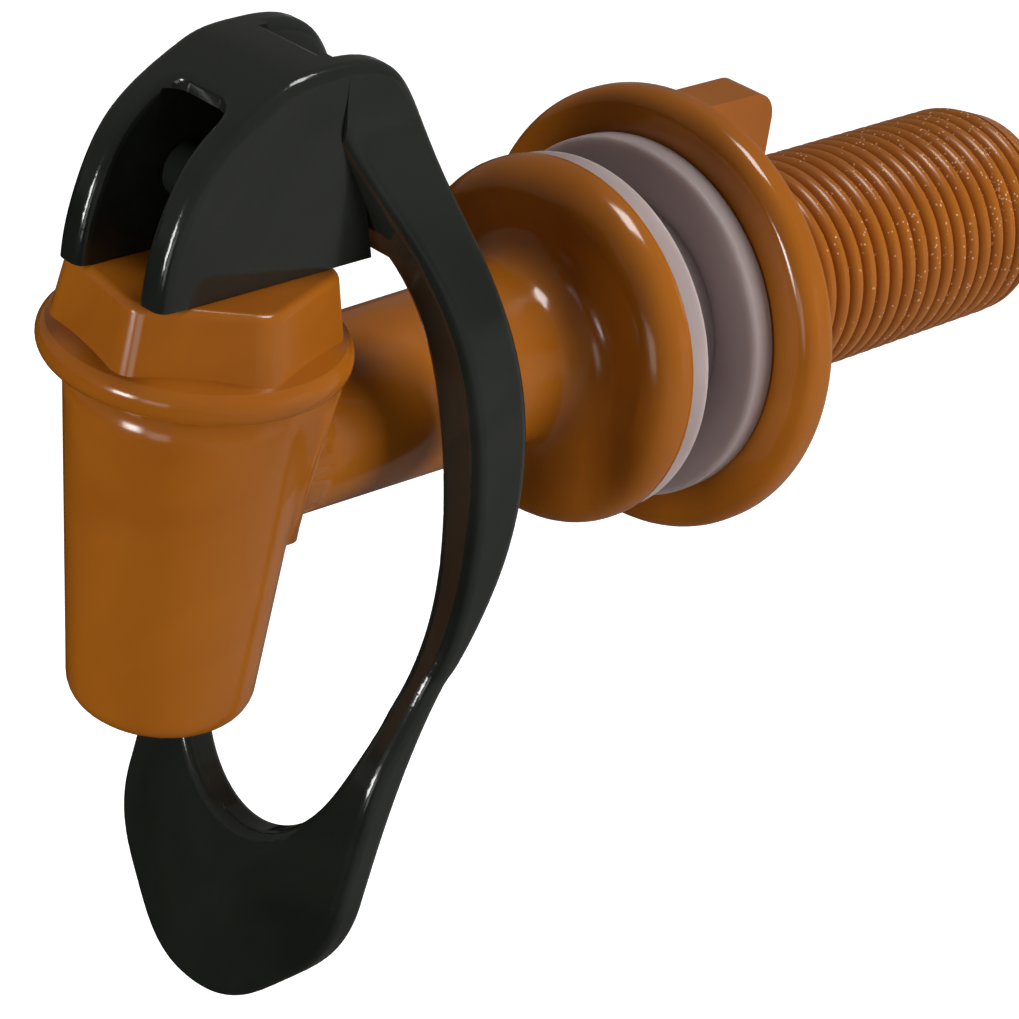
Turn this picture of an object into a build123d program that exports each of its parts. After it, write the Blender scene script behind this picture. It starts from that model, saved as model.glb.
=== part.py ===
from build123d import *
import os
from math import tan, radians

# Push-lever tap for a water filter tank, in millimetres.
# The shank's axis is Y, the tank is on the +Y side and the spout hangs at -Y.
# The origin is on the shank's axis, in the rear face of the body's flange, where the front washer seats.

# Running and seating clearances
run_fit = 0.05
seat_gap = 0.05
soft_gap = 0.15

# Threaded shank, an M16 x 1.5 thread whose ridges are left plain here
shank_d = 16.0
thread_pitch = 1.5
shank_len = 47.0
thread_depth = 0.6134 * thread_pitch
lead_in_len = 2.8
inlet_d = 8.4
inlet_len = 44.0
waterway_d = 7.0

# Flange and barrel of the body
flange_reach = 4.8
flange_t = 2.9
flange_round = 2.5
barrel_root_d = 12.3
barrel_d = 11.4
barrel_fillet = 3.0

# Bonnet, a six-sided cap on a rounded ring
bonnet_top_z = 13.4
ring_d = 19.4
ring_foot_d = 17.3
ring_low_z = 6.75
ring_wide_z = 7.8
ring_top_d = 18.4
ring_top_z = 9.0
ring_ledge_h = 0.5
hex_across = 16.4
hex_foot_z = 7.75
hex_draft = 9.0
hex_corner = 2.0
hex_turn = -11.0
hex_edge = 0.6
cap_inside_z = 9.15
spring_well_d = 8.4
spring_well_z = 11.9

# Valve chamber and spout, on a vertical axis
spout_y = -33.0
collar_top_z = ring_low_z - seat_gap
collar_d = 16.0
spout_tip_z = -17.8
spout_tip_d = 11.8
spout_tip_round = 2.2
neck_d = 12.8
neck_top_z = 8.3
chamber_d = 10.4
chamber_taper_h = 1.6
seat_z = -6.5
seat_d = 6.0
seat_lip_w = 0.7
seat_lip_h = 0.5
nozzle_d = 7.0
nozzle_mouth_d = 8.4
nozzle_mouth_h = 4.0

# Saddle that carries the barrel into the chamber
saddle_w = 15.6
saddle_foot_w = 11.0
saddle_back = 5.8
saddle_low_z = -5.0
saddle_round = 1.0

# Stem that lifts the seat cup
stem_d = 3.6
pin_z = 18.4
pin_d = 3.2
pin_reach = 3.9
pin_end_gap = 0.15
stem_head_w = 4.8
stem_head_top_z = 20.2
barb_neck_d = 2.6
barb_neck_h = 1.6
barb_head_h = 2.0
stem_tip_z = -5.2

# Silicone seat cup, a bell with a clamped rim and a plug at its foot
cup_rim_d = 12.2
cup_rim_t = 0.8
cup_wall = 0.8
cup_top_d = 8.4
cup_plug_d = 7.6
cup_plug_h = 4.6
cup_plug_round = 0.8

# Return spring inside the bell
spring_wire = 0.5
spring_mid_d = 4.9
spring_turns = 6.5
wire_sides = 8

# Lever head, two cheeks bridged by a crown
head_w = 9.7
slot_w = 5.2
cheek_foot_z = bonnet_top_z + seat_gap
cheek_front_y = -40.5
cheek_back_y = -23.7
crown_front_y = -34.3
crown_top_z = 26.6
crown_back_y = -27.4
crown_round = 0.9
slot_roof_z = 23.9
slot_corner = 1.3
cut_reach = 40.0

# Lever arms and paddle
arm_front_z = 21.5
arm_span = 23.8
arm_t = 4.0
paddle_w = 21.8
paddle_fullness = 0.66
paddle_t = 2.7
paddle_y = -24.9
paddle_bend_z = -29.5
paddle_lean = 2.8
paddle_side_z = -31.4
paddle_low_z = -42.6
loop_low_z = -30.3
loop_side_z = -18.4
loop_w = 17.2
edge_round = 0.8
slot_round = 0.7

# Sealing washers, each a rim with a collar that centres it in the tank's hole
front_rim_reach = 4.6
rear_rim_reach = 4.75
washer_rim_t = 1.9
washer_collar_wall = 0.95
washer_collar_t = 2.2
washer_edge = 0.3

# Wing nut
nut_flange_reach = 5.5
nut_flange_t = 3.2
nut_flange_round = 1.3
nut_hub_wall = 2.25
nut_hub_len = 6.4
nut_hub_taper = 0.6
wing_t = 3.3
wing_rise = 5.3
wing_root = 2.0
wing_len = 9.3
wing_round = 2.2

shank_r = shank_d / 2
spout_place = Pos(0, spout_y, 0)


def turned(points, axis=Axis.Z):
    """Solid of revolution from (radius, height) corners, on the vertical axis through the origin."""
    return revolve(Plane.XZ * make_face(Polyline(*points, close=True)), axis)


def turned_on_shank(points):
    """Solid of revolution from (place along Y, radius) corners, on the shank's axis."""
    return revolve(Plane.YZ * make_face(Polyline(*points, close=True)), Axis.Y)


def edges_at(solid, axis, place, reach=0.01):
    """Edges whose middle lies at one place along an axis."""
    return solid.edges().filter_by_position(axis, place - reach, place + reach)


def shank_and_barrel():
    """Threaded shank, flange and barrel, turned on the shank's axis."""
    flange_r = shank_r + flange_reach
    solid = turned_on_shank([
        (shank_len, 0),
        (shank_len, shank_r - thread_depth),
        (shank_len - lead_in_len, shank_r),
        (0, shank_r),
        (0, flange_r),
        (-flange_t, flange_r),
        (-flange_t, barrel_root_d / 2),
        (spout_y, barrel_d / 2),
        (spout_y, 0),
    ])
    front = edges_at(solid, Axis.Y, -flange_t)
    solid = fillet(front.sort_by(SortBy.RADIUS)[-1], flange_round)
    root = edges_at(solid, Axis.Y, -flange_t).sort_by(SortBy.RADIUS)[0]
    return fillet(root, barrel_fillet)


def chamber_and_spout():
    """Neck, collar and tapered spout, turned on the spout's axis."""
    solid = turned([
        (0, neck_top_z),
        (neck_d / 2, neck_top_z),
        (neck_d / 2, collar_top_z),
        (collar_d / 2, collar_top_z),
        (spout_tip_d / 2, spout_tip_z),
        (0, spout_tip_z),
    ])
    tip = edges_at(solid, Axis.Z, spout_tip_z)
    return spout_place * fillet(tip, spout_tip_round)


def saddle():
    """Block behind the chamber that the barrel grows out of, narrowing downwards."""
    middle = Pos(0, spout_y + saddle_back / 2, 0)
    top = middle * Pos(0, 0, collar_top_z) * RectangleRounded(saddle_w, saddle_back, saddle_round)
    foot = middle * Pos(0, 0, saddle_low_z) * RectangleRounded(saddle_foot_w, saddle_back, saddle_round)
    return loft([foot, top])


def chamber_room():
    """Space inside the chamber, the seat's hole and the spout's bore."""
    chamber_r = chamber_d / 2
    lip_r = seat_d / 2 + seat_lip_w
    return spout_place * turned([
        (0, neck_top_z),
        (chamber_r, neck_top_z),
        (chamber_r, seat_z + chamber_taper_h),
        (chamber_r - chamber_taper_h, seat_z - seat_lip_h),
        (lip_r, seat_z - seat_lip_h),
        (lip_r, seat_z),
        (seat_d / 2, seat_z),
        (seat_d / 2, seat_z - 1.2),
        (nozzle_d / 2, seat_z - 1.8),
        (nozzle_mouth_d / 2, spout_tip_z + nozzle_mouth_h),
        (nozzle_mouth_d / 2, spout_tip_z),
        (0, spout_tip_z),
    ])


def make_tap_body():
    """Body in one moulding: shank, flange, barrel, chamber and spout, with the water way through it."""
    solid = shank_and_barrel() + chamber_and_spout() + saddle()
    start = Pos(0, shank_len, 0)
    inlet = start * extrude(Plane.XZ * Circle(inlet_d / 2), inlet_len)
    water_way = start * extrude(Plane.XZ * Circle(waterway_d / 2), shank_len - spout_y)
    return solid - inlet - water_way - chamber_room()


def hexagon(reach, height):
    """Six-sided outline with rounded corners, its sides at one reach from the middle, at one height."""
    outline = RegularPolygon(reach, 6, major_radius=False, rotation=hex_turn)
    return Pos(0, 0, height) * fillet(outline.vertices(), hex_corner)


def make_bonnet():
    """Bonnet: rounded ring and drafted six-sided cap, threaded over the neck."""
    foot_r = ring_foot_d / 2
    top_r = ring_top_d / 2
    ledge_z = ring_top_z + ring_ledge_h
    shrink = (bonnet_top_z - hex_foot_z) * tan(radians(hex_draft))
    hex_top = hex_across / 2 - shrink
    bulge = ThreePointArc((foot_r, ring_low_z), (ring_d / 2, ring_wide_z), (top_r, ring_top_z))
    sides = Polyline((top_r, ring_top_z), (hex_top, ledge_z), (0, ledge_z), (0, ring_low_z), (foot_r, ring_low_z))
    ring = revolve(Plane.XZ * make_face([bulge, sides]), Axis.Z)
    cap = loft([hexagon(hex_across / 2, hex_foot_z), hexagon(hex_top, bonnet_top_z)])
    cap = fillet(cap.faces().sort_by(Axis.Z)[-1].edges(), hex_edge)
    room = turned([
        (0, ring_low_z),
        (neck_d / 2 + run_fit, ring_low_z),
        (neck_d / 2 + run_fit, cap_inside_z),
        (spring_well_d / 2, cap_inside_z),
        (spring_well_d / 2, spring_well_z),
        (stem_d / 2 + run_fit, spring_well_z),
        (stem_d / 2 + run_fit, bonnet_top_z),
        (0, bonnet_top_z),
    ])
    return spout_place * (ring + cap - room)


def make_stem():
    """Stem: barbed foot, round shaft through the bonnet, and a head with a cross pin moulded on."""
    stem_r = stem_d / 2
    barb_r = barb_neck_d / 2
    barb_top = stem_tip_z + barb_head_h
    shaft = turned([
        (0, stem_tip_z),
        (barb_r, stem_tip_z),
        (stem_r - 0.2, barb_top - 0.6),
        (stem_r - 0.2, barb_top),
        (barb_r, barb_top),
        (barb_r, barb_top + barb_neck_h),
        (stem_r, barb_top + barb_neck_h),
        (stem_r, pin_z),
        (0, pin_z),
    ])
    crosswise = Pos(0, 0, pin_z) * Rot(0, 90, 0)
    head = crosswise * Cylinder(stem_head_top_z - pin_z, stem_head_w)
    pin = crosswise * Cylinder(pin_d / 2, 2 * pin_reach)
    pin = chamfer(pin.edges(), 0.3)
    return spout_place * (shaft + head + pin)


def make_seat_cup():
    """Seat cup: a clamped rim, a tapered bell and a rounded plug that shuts the seat."""
    rim_r = cup_rim_d / 2
    top_r = cup_top_d / 2
    plug_r = cup_plug_d / 2
    plug_top = seat_z + seat_gap + cup_plug_h
    rim_top = neck_top_z + cup_rim_t
    solid = turned([
        (0, seat_z + seat_gap),
        (plug_r, seat_z + seat_gap),
        (plug_r, plug_top),
        (top_r, neck_top_z - 0.6),
        (top_r, neck_top_z),
        (rim_r, neck_top_z),
        (rim_r, rim_top),
        (0, rim_top),
    ])
    solid = fillet(edges_at(solid, Axis.Z, seat_z + seat_gap), cup_plug_round)
    barb_top = stem_tip_z + barb_head_h
    socket_r = stem_d / 2 - 0.2 + run_fit
    neck_r = barb_neck_d / 2 + run_fit
    room = turned([
        (0, stem_tip_z - run_fit),
        (neck_r, stem_tip_z - run_fit),
        (socket_r, barb_top - 0.6),
        (socket_r, barb_top + run_fit),
        (neck_r, barb_top + run_fit),
        (neck_r, plug_top - 0.4),
        (plug_r - cup_wall, plug_top - 0.4),
        (top_r - cup_wall, neck_top_z - 0.6),
        (top_r - cup_wall, rim_top),
        (0, rim_top),
    ])
    return spout_place * (solid - room)


def make_return_spring():
    """Return spring, coiled round the stem between the bonnet's well and the cup's floor."""
    low_z = seat_z + seat_gap + cup_plug_h - 0.4 + spring_wire / 2 + soft_gap
    high_z = spring_well_z - spring_wire / 2 - seat_gap
    rise = high_z - low_z
    path = Helix(pitch=rise / spring_turns, height=rise, radius=spring_mid_d / 2)
    wire = RegularPolygon(spring_wire / 2, wire_sides, major_radius=False)
    section = Plane(path @ 0, z_dir=path % 0) * wire
    return spout_place * Pos(0, 0, low_z) * sweep(section, path, is_frenet=True)


def head_block():
    """Side outline of the lever's head, drawn out to its width."""
    front = Spline(
        (cheek_front_y, cheek_foot_z),
        (-39.6, 18.6),
        (-37.6, 22.4),
        (-32.8, 25.7),
        (crown_back_y, crown_top_z),
        tangents=[(0, 1), (1, 0)],
    )
    back = Polyline(
        (crown_back_y, crown_top_z),
        (cheek_back_y, cheek_foot_z),
        (cheek_front_y, cheek_foot_z),
    )
    outline = Plane.YZ.offset(-head_w / 2) * make_face([front, back])
    block = extrude(outline, head_w)
    return fillet(block.edges().filter_by(GeomType.BSPLINE), edge_round)


def front_slot():
    """Space ahead of the crown, rounded where the crown closes it."""
    outline = RectangleRounded(slot_w, cut_reach, slot_corner)
    return Pos(0, crown_front_y - cut_reach / 2, 0) * extrude(outline, cut_reach)


def rear_slot():
    """Space behind the crown, with the crown's rear edge rounded over."""
    clear = Box(slot_w, cut_reach, cut_reach, align=(Align.CENTER, Align.MIN, Align.MIN))
    edge = Pos(0, crown_back_y - crown_round, crown_top_z - crown_round)
    corner = Box(slot_w, crown_round, crown_round, align=(Align.CENTER, Align.MIN, Align.MIN))
    corner -= Rot(0, 90, 0) * Cylinder(crown_round, slot_w)
    return Pos(0, crown_back_y, 0) * clear + edge * corner


def make_head():
    """Two cheeks bridged by the crown, open between them ahead of it, under it and behind it."""
    slot_h = slot_roof_z - cheek_foot_z
    under_crown = Box(slot_w, cut_reach, slot_h, align=(Align.CENTER, Align.CENTER, Align.MIN))
    head = head_block() - front_slot()
    inside = slot_w / 2 + seat_gap
    rim = head.edges().filter_by(GeomType.BSPLINE).filter_by_position(Axis.X, -inside, inside)
    rim = rim.filter_by_position(Axis.Y, cheek_front_y, crown_front_y + slot_round)
    return fillet(rim, slot_round) - Pos(0, spout_y, cheek_foot_z) * under_crown - rear_slot()


def loop_side():
    """Side outline of the arms and the paddle, drawn out past their width."""
    lean = paddle_lean / (paddle_bend_z - paddle_low_z)
    tip_y = paddle_y - paddle_lean
    back_y = paddle_y + paddle_t
    front = Spline(
        (crown_back_y, arm_front_z),
        (-22.9, 13.8),
        (-19.9, 5.0),
        (-18.5, -7.0),
        (-20.0, -16.0),
        (-22.9, -21.5),
        (paddle_y, paddle_bend_z),
        tangents=[(0.6, -1), (-lean, -1)],
    )
    paddle = Polyline(
        (paddle_y, paddle_bend_z),
        (tip_y, paddle_low_z),
        (tip_y + paddle_t, paddle_low_z),
        (back_y, paddle_bend_z),
    )
    back = Spline(
        (back_y, paddle_bend_z),
        (-19.0, -18.5),
        (-14.8, -7.5),
        (-15.2, 5.5),
        (-19.6, 18.5),
        (-22.3, 24.6),
        (crown_back_y, crown_top_z),
        tangents=[(lean, 1), (-1, 0)],
    )
    top = Line((crown_back_y, crown_top_z), (crown_back_y, arm_front_z))
    outline = Plane.YZ.offset(-arm_span) * make_face([front, paddle, back, top])
    return extrude(outline, 2 * arm_span)


def loop_front():
    """Front outline of the arms and the paddle, drawn through their depth."""
    out_x = arm_span / 2
    in_x = loop_w / 2
    half = paddle_w / 2
    top_z = crown_top_z + 1
    outer = Spline(
        (head_w / 2, crown_top_z),
        (5.2, 22.4),
        (8.9, 14.4),
        (out_x, 1.0),
        (out_x - 0.4, -14.0),
        (half, paddle_side_z),
        tangents=[(0, -1), (0, -1)],
    )
    drop = paddle_side_z - paddle_low_z
    under = Spline(
        (half, paddle_side_z),
        (paddle_fullness * half, paddle_side_z - paddle_fullness * drop),
        (0, paddle_low_z),
        tangents=[(0, -1), (-1, 0)],
    )
    inner = Spline(
        (head_w / 2, cheek_foot_z),
        (out_x - arm_t, 3.0),
        (in_x, loop_side_z),
        tangents=[(0.8, -1), (-0.1, -1)],
    )
    sag = loop_side_z - loop_low_z
    inside = EllipticalCenterArc((0, loop_side_z), in_x, sag, start_angle=-90, arc_size=90)
    half_outline = make_face([
        outer,
        under,
        Line((0, paddle_low_z), (0, loop_low_z)),
        inside,
        inner,
        Polyline(
            (head_w / 2, cheek_foot_z),
            (slot_w / 2, cheek_foot_z),
            (slot_w / 2, top_z),
            (head_w / 2, top_z),
            (head_w / 2, crown_top_z),
        ),
    ])
    solid = extrude(Plane.XZ * half_outline, cut_reach)
    return solid + mirror(solid, Plane.YZ)


def make_loop():
    """Arms and paddle in one piece, their long edges rounded."""
    loop = loop_side() & loop_front()
    half_height = (crown_top_z - paddle_low_z) / 2
    outer = loop.edges().filter_by(lambda edge: edge.length > half_height)
    inner = loop.edges().filter_by_position(Axis.Z, loop_low_z, loop_low_z + 1)
    inner = inner.filter_by(lambda edge: edge.geom_type != GeomType.LINE)
    near = edges_at(loop, Axis.X, slot_w / 2).filter_by(GeomType.BSPLINE).sort_by(Axis.Y)[-1]
    far = edges_at(loop, Axis.X, -slot_w / 2).filter_by(GeomType.BSPLINE).sort_by(Axis.Y)[-1]
    return fillet(outer + inner + near + far, edge_round)


def make_lever():
    """Lever: cheeks and crown over the bonnet, two arms round the barrel, and the paddle they carry."""
    pocket = Rot(0, 90, 0) * Cylinder(pin_d / 2 + run_fit, 2 * (pin_reach + pin_end_gap))
    return make_head() + make_loop() - Pos(0, spout_y, pin_z) * pocket


def make_washer(rim_reach, rim_start, way):
    """Washer: rim and collar bored for the shank; way is +1 if the collar points along +Y."""
    bore_r = shank_r + soft_gap
    rim_r = shank_r + rim_reach
    collar_r = bore_r + washer_collar_wall
    rim_end = rim_start + way * washer_rim_t
    collar_end = rim_end + way * washer_collar_t
    solid = turned_on_shank([
        (rim_start, bore_r),
        (rim_start, rim_r),
        (rim_end, rim_r),
        (rim_end, collar_r),
        (collar_end, collar_r),
        (collar_end, bore_r),
    ])
    rims = solid.edges().filter_by(GeomType.CIRCLE).sort_by(SortBy.RADIUS)[-2:]
    return fillet(rims, washer_edge)


def make_wing_nut(seat_y):
    """Wing nut: round flange, hub and two wings, bored to run on the shank."""
    bore_r = shank_r + run_fit
    hub_r = bore_r + nut_hub_wall
    flange_r = hub_r + nut_flange_reach
    back_y = seat_y + nut_flange_t
    end_y = seat_y + nut_hub_len
    solid = turned_on_shank([
        (seat_y, 0),
        (seat_y, flange_r),
        (back_y, flange_r),
        (back_y, hub_r),
        (end_y, hub_r - nut_hub_taper),
        (end_y, 0),
    ])
    rims = solid.edges().filter_by(GeomType.CIRCLE).sort_by(SortBy.RADIUS)[-2:]
    solid = fillet(rims, nut_flange_round)
    foot_y = seat_y + nut_flange_t / 2
    size = (wing_t, seat_y + wing_len - foot_y, wing_root + wing_rise)
    wing = Pos(0, foot_y, hub_r - wing_root) * Box(*size, align=(Align.CENTER, Align.MIN, Align.MIN))
    corner = wing.edges().filter_by(Axis.X).group_by(Axis.Y)[-1].sort_by(Axis.Z)[-1]
    wing = fillet(corner, wing_round)
    wings = wing + Rot(0, 180, 0) * wing
    bore = Pos(0, seat_y + wing_len, 0) * extrude(Plane.XZ * Circle(bore_r), wing_len)
    return solid + wings - bore


washer_len = washer_rim_t + washer_collar_t
rear_washer_y = 2 * washer_len + seat_gap
nut_seat_y = rear_washer_y + seat_gap

nodes = {
    "tap_body": make_tap_body(),
    "bonnet": make_bonnet(),
    "stem": make_stem(),
    "seat_cup": make_seat_cup(),
    "return_spring": make_return_spring(),
    "lever": make_lever(),
    "front_washer": make_washer(front_rim_reach, 0, 1),
    "rear_washer": make_washer(rear_rim_reach, rear_washer_y, -1),
    "wing_nut": make_wing_nut(nut_seat_y),
}

os.makedirs("parts", exist_ok=True)
for name, solid in nodes.items():
    export_step(solid, f"parts/{name}.step")
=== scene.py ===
import math

import bpy
from bpy.props import FloatProperty, FloatVectorProperty, IntProperty, PointerProperty
from mathutils import Matrix, Vector


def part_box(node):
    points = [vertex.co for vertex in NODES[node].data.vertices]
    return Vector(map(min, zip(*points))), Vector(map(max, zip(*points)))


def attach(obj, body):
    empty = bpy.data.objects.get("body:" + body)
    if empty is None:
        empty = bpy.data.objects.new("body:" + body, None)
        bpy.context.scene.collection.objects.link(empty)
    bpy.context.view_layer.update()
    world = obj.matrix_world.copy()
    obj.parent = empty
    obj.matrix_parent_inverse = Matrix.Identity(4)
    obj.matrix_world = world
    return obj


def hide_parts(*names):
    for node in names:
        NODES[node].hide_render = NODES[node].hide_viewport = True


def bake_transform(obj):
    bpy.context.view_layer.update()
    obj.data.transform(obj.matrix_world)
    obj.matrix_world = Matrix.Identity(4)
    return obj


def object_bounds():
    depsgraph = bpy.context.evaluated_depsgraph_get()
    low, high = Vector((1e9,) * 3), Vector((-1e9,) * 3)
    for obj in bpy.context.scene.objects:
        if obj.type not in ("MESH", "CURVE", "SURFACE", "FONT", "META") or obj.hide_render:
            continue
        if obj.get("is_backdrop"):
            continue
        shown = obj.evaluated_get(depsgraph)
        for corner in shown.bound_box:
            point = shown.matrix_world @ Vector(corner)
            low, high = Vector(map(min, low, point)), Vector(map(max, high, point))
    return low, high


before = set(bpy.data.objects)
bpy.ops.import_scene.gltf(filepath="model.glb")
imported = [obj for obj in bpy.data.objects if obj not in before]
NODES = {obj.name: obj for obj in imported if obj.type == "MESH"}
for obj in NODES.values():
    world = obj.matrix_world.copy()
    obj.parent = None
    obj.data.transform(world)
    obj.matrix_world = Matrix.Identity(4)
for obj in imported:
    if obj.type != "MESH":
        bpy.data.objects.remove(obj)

bl_info = {
    "name": "Water Filter Tap",
    "version": (1, 0, 0),
    "blender": (4, 5, 0),
    "location": "3D View > Sidebar > Tap",
    "description": "Push-lever tap of a water filter tank, with its threaded shank, washers and wing nut",
    "category": "Object",
}

MM = 0.001

# Places along the shank. The thread starts hidden inside the front washer.
WASHER_FACE_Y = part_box("front_washer")[0].y
NUT_END_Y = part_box("wing_nut")[1].y
BODY_END_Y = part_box("tap_body")[1].y
THREAD_LAP = 0.6 * MM

# Mesh settings
MERGE_REACH = 0.001 * MM
CUT_REACH = 0.0001 * MM
RIDGE_VERTICES = 16
BLANK_VERTICES = 96
SPARE_TURNS = 3

# Looks: the depth of the orange peel, and the specks, from few at the nut to many at the end
PEEL_DEPTH = 0.05 * MM
SPECK_WARP = 0.3 * MM
SPECKS_AT_NUT = 0.004
SPECKS_AT_END = 0.09

# Floor, in metres. Its gloss grows paler along a direction, between two distances.
FLOOR_SIZE = 6.0
FLOOR_GLOW = 0.85
FLOOR_WHITE = 0.8
PALER_ALONG = (0.65, 0.76, 0.0)
PALER_FROM = -0.06
PALER_TO = 0.14

# Camera: the sensor's width in millimetres, and the nearest distance that it sees
SENSOR_WIDTH = 36.0
CLIP_START = 0.01

# Lamps: name, place, width, and whether gloss mirrors it
LAMP_AIM = (0, -0.01, -0.01)
LAMPS = (
    ("key", (0.06, 0.14, 0.50), 0.18, True),
    ("side", (0.44, 0.26, 0.05), 0.26, False),
    ("front", (0.01, -0.52, 0.03), 0.12, True),
    ("fill", (0.20, -0.47, -0.02), 0.15, True),
)


# Properties

class TapSizes(bpy.types.PropertyGroup):
    """Sizes of the shank's thread and bore."""

    shank_radius: FloatProperty(
        name="Shank radius", description="Radius over the thread's crests",
        default=8.0 * MM, unit="LENGTH")
    thread_pitch: FloatProperty(
        name="Thread pitch", description="Distance from one ridge to the next",
        default=1.5 * MM, unit="LENGTH")
    thread_depth: FloatProperty(
        name="Thread depth", description="Height of a ridge over its valley",
        default=0.8 * MM, unit="LENGTH")
    thread_steps: IntProperty(
        name="Thread steps", description="Facets in one turn of the thread", default=80)
    lead_in_length: FloatProperty(
        name="Lead-in length", description="Length of the cone at the shank's end",
        default=2.8 * MM, unit="LENGTH")
    lead_in_depth: FloatProperty(
        name="Lead-in depth", description="How far the cone runs in at the end",
        default=0.92 * MM, unit="LENGTH")
    inlet_radius: FloatProperty(
        name="Inlet radius", description="Radius of the bore in the shank",
        default=4.2 * MM, unit="LENGTH")


class TapColours(bpy.types.PropertyGroup):
    """Colours of the mouldings, the washers, the spring and the specks."""

    orange: FloatVectorProperty(
        name="Orange", description="Body, bonnet and wing nut",
        subtype="COLOR", default=(0.44, 0.135, 0.01))
    orange_deep: FloatVectorProperty(
        name="Deep orange", description="Where the orange runs darker",
        subtype="COLOR", default=(0.38, 0.11, 0.008))
    black: FloatVectorProperty(
        name="Black", description="Lever and stem",
        subtype="COLOR", default=(0.012, 0.014, 0.011))
    black_worn: FloatVectorProperty(
        name="Dull black", description="Where the black is rubbed",
        subtype="COLOR", default=(0.02, 0.022, 0.018))
    silicone: FloatVectorProperty(
        name="Silicone", description="Washers and seat cup",
        subtype="COLOR", default=(0.42, 0.34, 0.33))
    silicone_light: FloatVectorProperty(
        name="Light silicone", description="Where the silicone is thin",
        subtype="COLOR", default=(0.50, 0.42, 0.41))
    steel: FloatVectorProperty(
        name="Steel", description="Return spring",
        subtype="COLOR", default=(0.56, 0.56, 0.55))
    speck: FloatVectorProperty(
        name="Specks", description="Limescale on the thread",
        subtype="COLOR", default=(0.75, 0.46, 0.27))


class TapStage(bpy.types.PropertyGroup):
    """Camera, floor, lamps and surroundings."""

    azimuth: FloatProperty(
        name="Azimuth", description="Camera's turn round the tap",
        default=math.radians(40.627), unit="ROTATION")
    elevation: FloatProperty(
        name="Elevation", description="Camera's height over the horizon",
        default=math.radians(28.115), unit="ROTATION")
    roll: FloatProperty(
        name="Roll", description="Camera's turn about its own axis",
        default=math.radians(8.832), unit="ROTATION")
    distance: FloatProperty(
        name="Distance", description="From the origin to the camera's plane",
        default=236.8 * MM, unit="LENGTH")
    aim_right: FloatProperty(
        name="Aim right", description="Camera's place to the right of the origin",
        default=-2.92 * MM, unit="LENGTH")
    aim_up: FloatProperty(
        name="Aim up", description="Camera's place above the origin",
        default=-11.67 * MM, unit="LENGTH")
    lens: FloatProperty(
        name="Lens", description="Focal length in millimetres", default=122.9)
    floor_drop: FloatProperty(
        name="Floor drop", description="Floor's distance under the paddle",
        default=60.0 * MM, unit="LENGTH")
    floor_shade: FloatProperty(
        name="Floor shade", description="Share of scattered light the floor throws back", default=0.4)
    floor_dark: FloatProperty(
        name="Dark floor", description="Floor in gloss, before the tap", default=0.0)
    floor_pale: FloatProperty(
        name="Pale floor", description="Floor in gloss, behind the tap", default=0.24)
    key: FloatProperty(
        name="Key lamp", description="Power of the lamp above", default=1.3)
    side: FloatProperty(
        name="Side lamp", description="Power of the lamp behind on the right", default=1.8)
    front: FloatProperty(
        name="Front lamp", description="Power of the lamp ahead of the spout", default=1.05)
    fill: FloatProperty(
        name="Fill lamp", description="Power of the dim lamp low on the front right", default=0.14)
    sky: FloatProperty(
        name="Sky", description="Strength of the plain surroundings", default=0.13)


# Mesh helpers

def deselect():
    """Leaves edit mode, with nothing selected."""
    if bpy.context.object and bpy.context.object.mode != "OBJECT":
        bpy.ops.object.mode_set(mode="OBJECT")
    bpy.ops.object.select_all(action="DESELECT")


def select(piece):
    """Selects one piece alone and makes it the active one."""
    deselect()
    piece.select_set(True)
    bpy.context.view_layer.objects.active = piece


def edit(piece):
    """Opens one piece in edit mode, all of it selected."""
    select(piece)
    bpy.ops.object.mode_set(mode="EDIT")
    bpy.ops.mesh.select_mode(type="VERT")
    bpy.ops.mesh.select_all(action="SELECT")


def named(name):
    """The object that an operator has just added, named, with its place moved into its mesh."""
    piece = bpy.context.object
    piece.name = name
    bpy.ops.object.transform_apply(location=True, rotation=True, scale=True)
    return piece


def apply_modifiers(piece):
    """Applies every modifier of a piece, in order."""
    select(piece)
    for modifier in list(piece.modifiers):
        bpy.ops.object.modifier_apply(modifier=modifier.name)


def smooth(piece, angle=30):
    """Smooth shading, with edges sharper than the angle, in degrees, left sharp."""
    select(piece)
    bpy.ops.object.shade_smooth_by_angle(angle=math.radians(angle))


def merge(piece):
    """Merges the doubled vertices of a piece."""
    edit(piece)
    bpy.ops.mesh.remove_doubles(threshold=MERGE_REACH)
    bpy.ops.object.mode_set(mode="OBJECT")


def cut_with(piece, tool, operation):
    """Cuts a piece with another, which is then deleted."""
    modifier = piece.modifiers.new(operation.title(), "BOOLEAN")
    modifier.operation = operation
    modifier.solver = "EXACT"
    modifier.object = tool
    apply_modifiers(piece)
    bpy.data.objects.remove(tool)


def cut_off(piece, place, normal):
    """Cuts away what lies past a plane, on the side that its normal points to, and closes the cut."""
    edit(piece)
    bpy.ops.mesh.bisect(
        plane_co=place, plane_no=normal, use_fill=True, clear_outer=True, threshold=CUT_REACH)
    bpy.ops.object.mode_set(mode="OBJECT")


def node_copy(node, name):
    """A loose copy of a CAD node's mesh under its own name, its doubled vertices merged."""
    piece = bpy.data.objects.new(name, NODES[node].data.copy())
    bpy.context.scene.collection.objects.link(piece)
    merge(piece)
    return piece


def dress(piece, material):
    """Gives a piece one material, by its name."""
    piece.data.materials.clear()
    piece.data.materials.append(bpy.data.materials[material])


# Shader helpers

def add(tree, kind, **values):
    """A new node with its settings made, and values for its inputs by name or number."""
    inputs = values.pop("inputs", {})
    node = tree.nodes.new(kind)
    for key, value in values.items():
        setattr(node, key, value)
    for key, value in inputs.items():
        node.inputs[key].default_value = value
    return node


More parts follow.
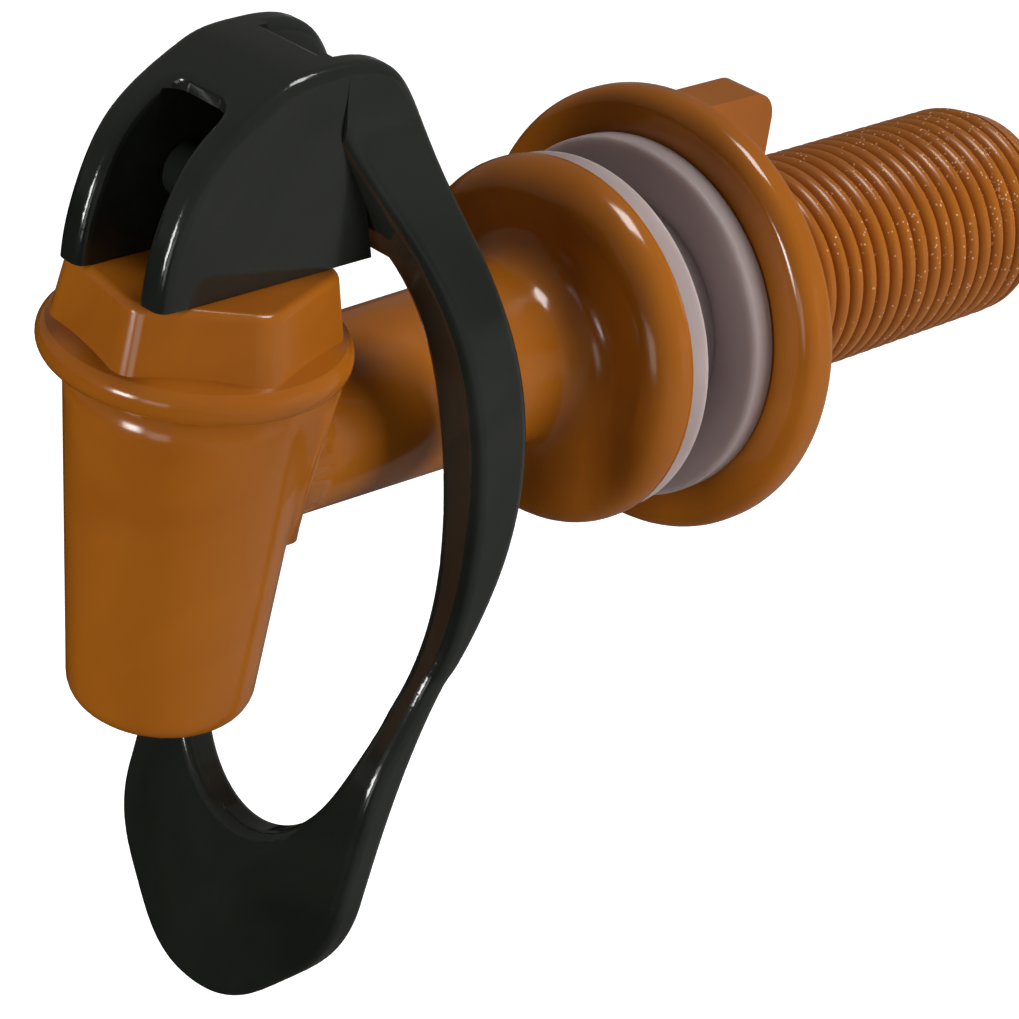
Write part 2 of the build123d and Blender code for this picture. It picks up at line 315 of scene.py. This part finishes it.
def wire(tree, *rows):
    """Links nodes, each row giving a node, its output, the next node and that one's input."""
    for source, output, target, socket in rows:
        tree.links.new(source.outputs[output], target.inputs[socket])


def new_group(name, inputs, outputs):
    """An empty shader node group with its sockets, each given as a name, a kind and a default."""
    tree = bpy.data.node_groups.new(name, "ShaderNodeTree")
    for label, kind, default in inputs:
        socket = tree.interface.new_socket(label, in_out="INPUT", socket_type=kind)
        socket.default_value = default
    for label, kind in outputs:
        tree.interface.new_socket(label, in_out="OUTPUT", socket_type=kind)
    return tree, tree.nodes.new("NodeGroupInput"), tree.nodes.new("NodeGroupOutput")


def mix_colours(tree, mask, first, second):
    """A mix of two colour sockets by a mask socket."""
    node = add(tree, "ShaderNodeMix", data_type="RGBA")
    tree.links.new(mask, node.inputs["Factor"])
    tree.links.new(first, node.inputs["A"])
    tree.links.new(second, node.inputs["B"])
    return node.outputs["Result"]


def moulded_skin():
    """Group for a moulded surface: flow marks in the colour, uneven gloss and a fine orange-peel height."""
    tree, start, end = new_group(
        "moulded_skin",
        [("Colour", "NodeSocketColor", (0.5, 0.5, 0.5, 1)),
         ("Deep Colour", "NodeSocketColor", (0.4, 0.4, 0.4, 1)),
         ("Gloss Low", "NodeSocketFloat", 0.25),
         ("Gloss High", "NodeSocketFloat", 0.4),
         ("Peel Scale", "NodeSocketFloat", 700.0)],
        [("Colour", "NodeSocketColor"), ("Roughness", "NodeSocketFloat"), ("Height", "NodeSocketFloat")])
    place = add(tree, "ShaderNodeTexCoord")
    flow = add(tree, "ShaderNodeTexNoise", inputs={"Scale": 55.0, "Detail": 3.0, "Distortion": 1.2})
    smear = add(tree, "ShaderNodeTexNoise", inputs={"Scale": 160.0, "Detail": 5.0, "Roughness": 0.6})
    peel = add(tree, "ShaderNodeTexNoise", inputs={"Detail": 2.0})
    band = add(tree, "ShaderNodeMapRange", inputs={"From Min": 0.35, "From Max": 0.65})
    gloss = add(tree, "ShaderNodeMapRange", inputs={"From Min": 0.3, "From Max": 0.7})
    wire(
        tree,
        (place, "Object", flow, "Vector"),
        (place, "Object", smear, "Vector"),
        (place, "Object", peel, "Vector"),
        (start, "Peel Scale", peel, "Scale"),
        (flow, "Fac", band, "Value"),
        (smear, "Fac", gloss, "Value"),
        (start, "Gloss Low", gloss, "To Min"),
        (start, "Gloss High", gloss, "To Max"),
        (gloss, "Result", end, "Roughness"),
        (peel, "Fac", end, "Height"))
    colour = mix_colours(
        tree, band.outputs["Result"], start.outputs["Colour"], start.outputs["Deep Colour"])
    tree.links.new(colour, end.inputs["Colour"])


def fine_specks():
    """Group for small flecks: a mask of warped dots that gather in clumps, more where Amount is higher."""
    tree, start, end = new_group(
        "fine_specks",
        [("Scale", "NodeSocketFloat", 900.0),
         ("Amount", "NodeSocketFloat", 0.1),
         ("Size", "NodeSocketFloat", 0.3)],
        [("Mask", "NodeSocketFloat")])
    place = add(tree, "ShaderNodeTexCoord")
    clump = add(tree, "ShaderNodeTexNoise", inputs={"Scale": 420.0, "Detail": 1.0})
    gather = add(tree, "ShaderNodeMapRange", inputs={
        "From Min": 0.42, "From Max": 0.72, "To Min": 0.15, "To Max": 4.0})
    limit = add(tree, "ShaderNodeMath", operation="MULTIPLY")
    warp = add(tree, "ShaderNodeTexNoise", inputs={"Scale": 1500.0, "Detail": 2.0})
    shift = add(tree, "ShaderNodeVectorMath", operation="MULTIPLY_ADD", inputs={
        1: (SPECK_WARP, SPECK_WARP, SPECK_WARP)})
    cells = add(tree, "ShaderNodeTexVoronoi", feature="F1")
    red = add(tree, "ShaderNodeSeparateColor")
    pick = add(tree, "ShaderNodeMath", operation="LESS_THAN")
    near = add(tree, "ShaderNodeMath", operation="LESS_THAN")
    both = add(tree, "ShaderNodeMath", operation="MULTIPLY")
    wire(
        tree,
        (place, "Object", clump, "Vector"),
        (clump, "Fac", gather, "Value"),
        (gather, "Result", limit, 0),
        (start, "Amount", limit, 1),
        (limit, "Value", pick, 1),
        (place, "Object", warp, "Vector"),
        (warp, "Color", shift, 0),
        (place, "Object", shift, 2),
        (shift, "Vector", cells, "Vector"),
        (start, "Scale", cells, "Scale"),
        (cells, "Color", red, "Color"),
        (red, "Red", pick, 0),
        (cells, "Distance", near, 0),
        (start, "Size", near, 1),
        (pick, "Value", both, 0),
        (near, "Value", both, 1),
        (both, "Value", end, "Mask"))


def new_material(name, **sockets):
    """A material's node tree and its shader, the shader's own sockets set by name."""
    material = bpy.data.materials.new(name)
    material.use_nodes = True
    tree = material.node_tree
    shader = tree.nodes["Principled BSDF"]
    for key, value in sockets.items():
        shader.inputs[key.replace("_", " ")].default_value = value
    return tree, shader


def solid(colour):
    """A colour property as the four numbers that a socket takes."""
    return (*colour, 1.0)


def skin_into(tree, shader, colour, deep, gloss, peel_scale, bump):
    """Places the moulded skin in a material and returns its colour socket."""
    skin = add(tree, "ShaderNodeGroup", node_tree=bpy.data.node_groups["moulded_skin"], inputs={
        "Colour": solid(colour), "Deep Colour": solid(deep),
        "Gloss Low": gloss[0], "Gloss High": gloss[1], "Peel Scale": peel_scale})
    relief = add(tree, "ShaderNodeBump", inputs={"Strength": bump, "Distance": PEEL_DEPTH})
    wire(
        tree,
        (skin, "Height", relief, "Height"),
        (relief, "Normal", shader, "Normal"),
        (skin, "Roughness", shader, "Roughness"),
        (skin, "Colour", shader, "Base Color"))
    return skin.outputs["Colour"]


def orange_plastic(colours):
    """Glossy moulded plastic of the body, the bonnet and the wing nut."""
    tree, shader = new_material("moulded_orange", IOR=1.5)
    skin_into(
        tree, shader, colours.orange, colours.orange_deep, gloss=(0.12, 0.2), peel_scale=650.0, bump=0.08)


def orange_thread(colours, start_y, end_y):
    """The same plastic on the thread, duller, with pale specks that thicken towards the end."""
    tree, shader = new_material("threaded_orange", IOR=1.5)
    base = skin_into(
        tree, shader, colours.orange, colours.orange_deep, gloss=(0.22, 0.36), peel_scale=900.0, bump=0.15)
    place = add(tree, "ShaderNodeTexCoord")
    axes = add(tree, "ShaderNodeSeparateXYZ")
    share = add(tree, "ShaderNodeMapRange", inputs={
        "From Min": start_y, "From Max": end_y, "To Min": SPECKS_AT_NUT, "To Max": SPECKS_AT_END})
    specks = add(tree, "ShaderNodeGroup", node_tree=bpy.data.node_groups["fine_specks"], inputs={
        "Scale": 5000.0, "Size": 0.42})
    wire(
        tree,
        (place, "Object", axes, "Vector"),
        (axes, "Y", share, "Value"),
        (share, "Result", specks, "Amount"))
    pale = add(tree, "ShaderNodeRGB")
    pale.outputs["Color"].default_value = solid(colours.speck)
    speckled = mix_colours(tree, specks.outputs["Mask"], base, pale.outputs["Color"])
    tree.links.new(speckled, shader.inputs["Base Color"])


def black_plastic(colours):
    """Glossy black plastic of the lever and the stem."""
    tree, shader = new_material("moulded_black", IOR=1.5)
    skin_into(
        tree, shader, colours.black, colours.black_worn, gloss=(0.09, 0.17), peel_scale=500.0, bump=0.06)


def frosted_silicone(colours):
    """Frosted silicone of the washers and the seat cup, paler in places, which scatters light inside."""
    tree, shader = new_material(
        "frosted_silicone", IOR=1.42, Subsurface_Weight=0.7, Subsurface_Scale=2.5 * MM,
        Subsurface_Radius=(1.0, 0.85, 0.75))
    skin_into(
        tree, shader, colours.silicone, colours.silicone_light,
        gloss=(0.38, 0.5), peel_scale=800.0, bump=0.15)


def spring_steel(colours):
    """Bright drawn wire of the return spring."""
    tree, shader = new_material("bright_wire", Metallic=1.0)
    skin_into(
        tree, shader, colours.steel, colours.steel, gloss=(0.22, 0.34), peel_scale=2500.0, bump=0.1)


# Pieces

def shank_thread(sizes, start_y, end_y):
    """Threaded end of the shank: one rounded ridge wound along it, a cone at the end, and the bore."""
    pitch = sizes.thread_pitch
    root = sizes.shank_radius - sizes.thread_depth
    deselect()
    bpy.ops.mesh.primitive_circle_add(
        vertices=RIDGE_VERTICES, radius=1.0, location=(0, 0, 0), rotation=(0, math.pi / 2, 0))
    ridge = named("shank_thread")
    edit(ridge)
    bpy.ops.mesh.select_all(action="DESELECT")
    bpy.ops.object.mode_set(mode="OBJECT")
    for vertex in ridge.data.vertices:
        vertex.select = vertex.co.z < -0.01
    bpy.ops.object.mode_set(mode="EDIT")
    bpy.ops.mesh.delete(type="VERT")
    bpy.ops.mesh.select_all(action="SELECT")
    bpy.ops.transform.resize(value=(1, pitch / 2, sizes.thread_depth), center_override=(0, 0, 0))
    bpy.ops.transform.translate(value=(0, start_y - pitch, root))
    bpy.ops.object.mode_set(mode="OBJECT")
    screw = ridge.modifiers.new("Screw", "SCREW")
    screw.axis = "Y"
    screw.screw_offset = pitch
    screw.iterations = math.ceil((end_y - start_y) / pitch) + SPARE_TURNS
    screw.steps = sizes.thread_steps
    screw.render_steps = sizes.thread_steps
    apply_modifiers(ridge)
    merge(ridge)
    cut_off(ridge, (0, end_y, 0), (0, 1, 0))
    cut_off(ridge, (0, start_y, 0), (0, -1, 0))
    edit(ridge)
    bpy.ops.mesh.normals_make_consistent(inside=False)
    bpy.ops.object.mode_set(mode="OBJECT")
    cut_with(ridge, lead_in_blank(sizes, start_y, end_y), "INTERSECT")
    return ridge


def lead_in_blank(sizes, start_y, end_y):
    """Tube round the thread, with the end's cone and the bore, that the thread is cut to."""
    spare = 0.1 * MM
    radius = sizes.shank_radius + spare
    slope = sizes.lead_in_depth / sizes.lead_in_length
    cone_y = end_y - sizes.lead_in_length - spare / slope
    tip = sizes.shank_radius - sizes.lead_in_depth
    low_y = start_y - 1 * MM
    deselect()
    bpy.ops.mesh.primitive_circle_add(
        vertices=BLANK_VERTICES, radius=radius, fill_type="NOTHING",
        location=(0, low_y, 0), rotation=(math.pi / 2, 0, 0))
    blank = named("lead_in_blank")
    edit(blank)
    rings = [
        (cone_y, radius),
        (end_y + spare, tip - spare * slope),
        (end_y + spare, sizes.inlet_radius),
        (low_y, sizes.inlet_radius),
    ]
    last_y, last_radius = low_y, radius
    for y, ring_radius in rings:
        bpy.ops.mesh.extrude_region_move(TRANSFORM_OT_translate={"value": (0, y - last_y, 0)})
        share = ring_radius / last_radius
        bpy.ops.transform.resize(value=(share, 1, share), center_override=(0, y, 0))
        last_y, last_radius = y, ring_radius
    bpy.ops.mesh.select_all(action="DESELECT")
    bpy.ops.mesh.select_non_manifold()
    bpy.ops.mesh.bridge_edge_loops()
    bpy.ops.mesh.select_all(action="SELECT")
    bpy.ops.mesh.normals_make_consistent(inside=False)
    bpy.ops.object.mode_set(mode="OBJECT")
    return blank


class TAP_OT_materials(bpy.types.Operator):
    """Make the plastics, the silicone and the spring's steel"""

    bl_idname = "tap.materials"
    bl_label = "Materials"

    def execute(self, context):
        colours = context.scene.tap_colours
        moulded_skin()
        fine_specks()
        orange_plastic(colours)
        orange_thread(colours, NUT_END_Y, BODY_END_Y)
        black_plastic(colours)
        frosted_silicone(colours)
        spring_steel(colours)
        return {"FINISHED"}


class TAP_OT_body(bpy.types.Operator):
    """Make the body's moulding, with its threaded shank"""

    bl_idname = "tap.body"
    bl_label = "Body"

    def execute(self, context):
        joint_y = WASHER_FACE_Y + THREAD_LAP
        shell = node_copy("tap_body", "body_moulding")
        cut_off(shell, (0, joint_y, 0), (0, 1, 0))
        smooth(shell)
        dress(shell, "moulded_orange")
        thread = shank_thread(context.scene.tap_sizes, joint_y, BODY_END_Y)
        smooth(thread, angle=50)
        dress(thread, "threaded_orange")
        for piece in (shell, thread):
            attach(piece, "tap")
            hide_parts("tap_body")
        return {"FINISHED"}


class TAP_OT_bonnet(bpy.types.Operator):
    """Finish the bonnet"""

    bl_idname = "tap.bonnet"
    bl_label = "Bonnet"

    def execute(self, context):
        dress(NODES["bonnet"], "moulded_orange")
        return {"FINISHED"}


class TAP_OT_lever(bpy.types.Operator):
    """Finish the lever"""

    bl_idname = "tap.lever"
    bl_label = "Lever"

    def execute(self, context):
        dress(NODES["lever"], "moulded_black")
        return {"FINISHED"}


class TAP_OT_valve(bpy.types.Operator):
    """Finish the stem, and make the seat cup and the return spring"""

    bl_idname = "tap.valve"
    bl_label = "Valve"

    def execute(self, context):
        dress(NODES["stem"], "moulded_black")
        soft = {
            "seat_cup": ("cup_bell", "frosted_silicone", "silicone"),
            "return_spring": ("spring_coil", "bright_wire", "spring_steel"),
        }
        for node, (name, material, slot) in soft.items():
            piece = node_copy(node, name)
            smooth(piece)
            dress(piece, material)
            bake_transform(piece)
            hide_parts(node)
        return {"FINISHED"}


class TAP_OT_washers(bpy.types.Operator):
    """Finish the two washers"""

    bl_idname = "tap.washers"
    bl_label = "Washers"

    def execute(self, context):
        for node in ("front_washer", "rear_washer"):
            dress(NODES[node], "frosted_silicone")
        return {"FINISHED"}


class TAP_OT_wing_nut(bpy.types.Operator):
    """Finish the wing nut"""

    bl_idname = "tap.wing_nut"
    bl_label = "Wing Nut"

    def execute(self, context):
        dress(NODES["wing_nut"], "moulded_orange")
        return {"FINISHED"}


# Stage

def camera_axes(stage):
    """The camera's right, up and back directions."""
    flat = math.cos(stage.elevation)
    sin_a, cos_a = math.sin(stage.azimuth), math.cos(stage.azimuth)
    back = Vector((sin_a * flat, -cos_a * flat, math.sin(stage.elevation)))
    right = Vector((cos_a, sin_a, 0))
    up = back.cross(right)
    cos_r, sin_r = math.cos(stage.roll), math.sin(stage.roll)
    return right * cos_r + up * sin_r, up * cos_r - right * sin_r, back


def add_camera(stage):
    """Camera at the photograph's place, with its lens and turn."""
    right, up, back = camera_axes(stage)
    place = back * stage.distance + right * stage.aim_right + up * stage.aim_up
    camera = bpy.data.objects.new("camera", bpy.data.cameras.new("camera"))
    bpy.context.scene.collection.objects.link(camera)
    camera.data.sensor_width = SENSOR_WIDTH
    camera.data.lens = stage.lens
    camera.data.clip_start = CLIP_START
    turn = Matrix((right, up, back)).transposed().to_4x4()
    camera.matrix_world = Matrix.Translation(place) @ turn
    bpy.context.scene.camera = camera


def add_lamp(name, place, size, power, in_gloss):
    """A square soft lamp at a place, turned towards the tap."""
    lamp = bpy.data.objects.new(name, bpy.data.lights.new(name, "AREA"))
    bpy.context.scene.collection.objects.link(lamp)
    lamp.visible_glossy = in_gloss
    lamp.data.size = size
    lamp.data.energy = power
    lamp.location = place
    lamp.rotation_euler = (Vector(LAMP_AIM) - Vector(place)).to_track_quat("-Z", "Y").to_euler()


def pale_floor(stage):
    """Floor that the camera sees white with its shadow kept, and gloss sees dark in front, pale behind."""
    material = bpy.data.materials.new("pale_floor")
    material.use_nodes = True
    tree = material.node_tree
    tree.nodes.clear()
    output = add(tree, "ShaderNodeOutputMaterial")
    matt = add(tree, "ShaderNodeBsdfDiffuse")
    glow = add(tree, "ShaderNodeEmission", inputs={"Color": (1, 1, 1, 1)})
    both = add(tree, "ShaderNodeAddShader")
    path = add(tree, "ShaderNodeLightPath")
    straight = add(tree, "ShaderNodeMath", operation="MAXIMUM")
    seen = add(tree, "ShaderNodeMath", operation="MULTIPLY", inputs={1: FLOOR_GLOW})
    bounce = add(tree, "ShaderNodeMath", operation="MULTIPLY", inputs={1: stage.floor_shade})
    shade = add(tree, "ShaderNodeMath", operation="MULTIPLY_ADD", inputs={1: FLOOR_WHITE})
    place = add(tree, "ShaderNodeTexCoord")
    along = add(tree, "ShaderNodeVectorMath", operation="DOT_PRODUCT", inputs={1: PALER_ALONG})
    share = add(tree, "ShaderNodeMapRange", interpolation_type="SMOOTHSTEP", inputs={
        "From Min": PALER_FROM, "From Max": PALER_TO,
        "To Min": stage.floor_dark, "To Max": stage.floor_pale})
    gloss = add(tree, "ShaderNodeMath", operation="MULTIPLY_ADD")
    wire(
        tree,
        (path, "Is Camera Ray", straight, 0),
        (path, "Is Transmission Ray", straight, 1),
        (straight, "Value", seen, 0),
        (path, "Is Diffuse Ray", bounce, 0),
        (straight, "Value", shade, 0),
        (bounce, "Value", shade, 2),
        (shade, "Value", matt, "Color"),
        (place, "Object", along, 0),
        (along, "Value", share, "Value"),
        (share, "Result", gloss, 0),
        (path, "Is Glossy Ray", gloss, 1),
        (seen, "Value", gloss, 2),
        (gloss, "Value", glow, "Strength"),
        (matt, "BSDF", both, 0),
        (glow, "Emission", both, 1),
        (both, "Shader", output, "Surface"))


def surroundings(stage):
    """Plain world that lights dimly and shows as white past the floor's edge."""
    world = bpy.data.worlds.new("surroundings")
    world.use_nodes = True
    tree = world.node_tree
    background = tree.nodes["Background"]
    background.inputs["Color"].default_value = (1, 1, 1, 1)
    path = add(tree, "ShaderNodeLightPath")
    strength = add(tree, "ShaderNodeMapRange", inputs={"To Min": stage.sky, "To Max": 1.0})
    wire(
        tree,
        (path, "Is Camera Ray", strength, "Value"),
        (strength, "Result", background, "Strength"))
    return world


class TAP_OT_stage(bpy.types.Operator):
    """Set up the floor, the lamps, the surroundings and the camera"""

    bl_idname = "tap.stage"
    bl_label = "Stage"

    def execute(self, context):
        stage = context.scene.tap_stage
        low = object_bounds()[0]
        deselect()
        bpy.ops.mesh.primitive_plane_add(
            size=FLOOR_SIZE, location=(0, 0, low.z - stage.floor_drop))
        floor = named("floor")
        pale_floor(stage)
        dress(floor, "pale_floor")
        floor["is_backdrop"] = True
        for name, place, size, in_gloss in LAMPS:
            add_lamp(name + "_lamp", place, size, getattr(stage, name), in_gloss)
        context.scene.world = surroundings(stage)
        context.scene.view_settings.view_transform = "Standard"
        add_camera(stage)
        return {"FINISHED"}


class TAP_PT_panel(bpy.types.Panel):
    """Steps that make the tap, in order"""

    bl_idname = "TAP_PT_panel"
    bl_label = "Water Filter Tap"
    bl_space_type = "VIEW_3D"
    bl_region_type = "UI"
    bl_category = "Tap"

    def draw(self, context):
        for step in STEPS:
            self.layout.operator(step.bl_idname)
        for group in (context.scene.tap_sizes, context.scene.tap_colours, context.scene.tap_stage):
            for name in group.__annotations__:
                self.layout.prop(group, name)


GROUPS = {"tap_sizes": TapSizes, "tap_colours": TapColours, "tap_stage": TapStage}
STEPS = (
    TAP_OT_materials, TAP_OT_body, TAP_OT_bonnet, TAP_OT_lever, TAP_OT_valve, TAP_OT_washers,
    TAP_OT_wing_nut, TAP_OT_stage,
)


def register():
    """Registers the properties, the steps and the panel."""
    for name, group in GROUPS.items():
        bpy.utils.register_class(group)
        setattr(bpy.types.Scene, name, PointerProperty(type=group))
    for step in STEPS:
        bpy.utils.register_class(step)
    bpy.utils.register_class(TAP_PT_panel)


def unregister():
    """Takes back what register made."""
    bpy.utils.unregister_class(TAP_PT_panel)
    for step in reversed(STEPS):
        bpy.utils.unregister_class(step)
    for name, group in reversed(GROUPS.items()):
        delattr(bpy.types.Scene, name)
        bpy.utils.unregister_class(group)


def main():
    """Runs the steps in order."""
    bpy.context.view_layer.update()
    register()
    for step in STEPS:
        group, name = step.bl_idname.split(".")
        getattr(getattr(bpy.ops, group), name)()


if __name__ == "__main__":
    main()
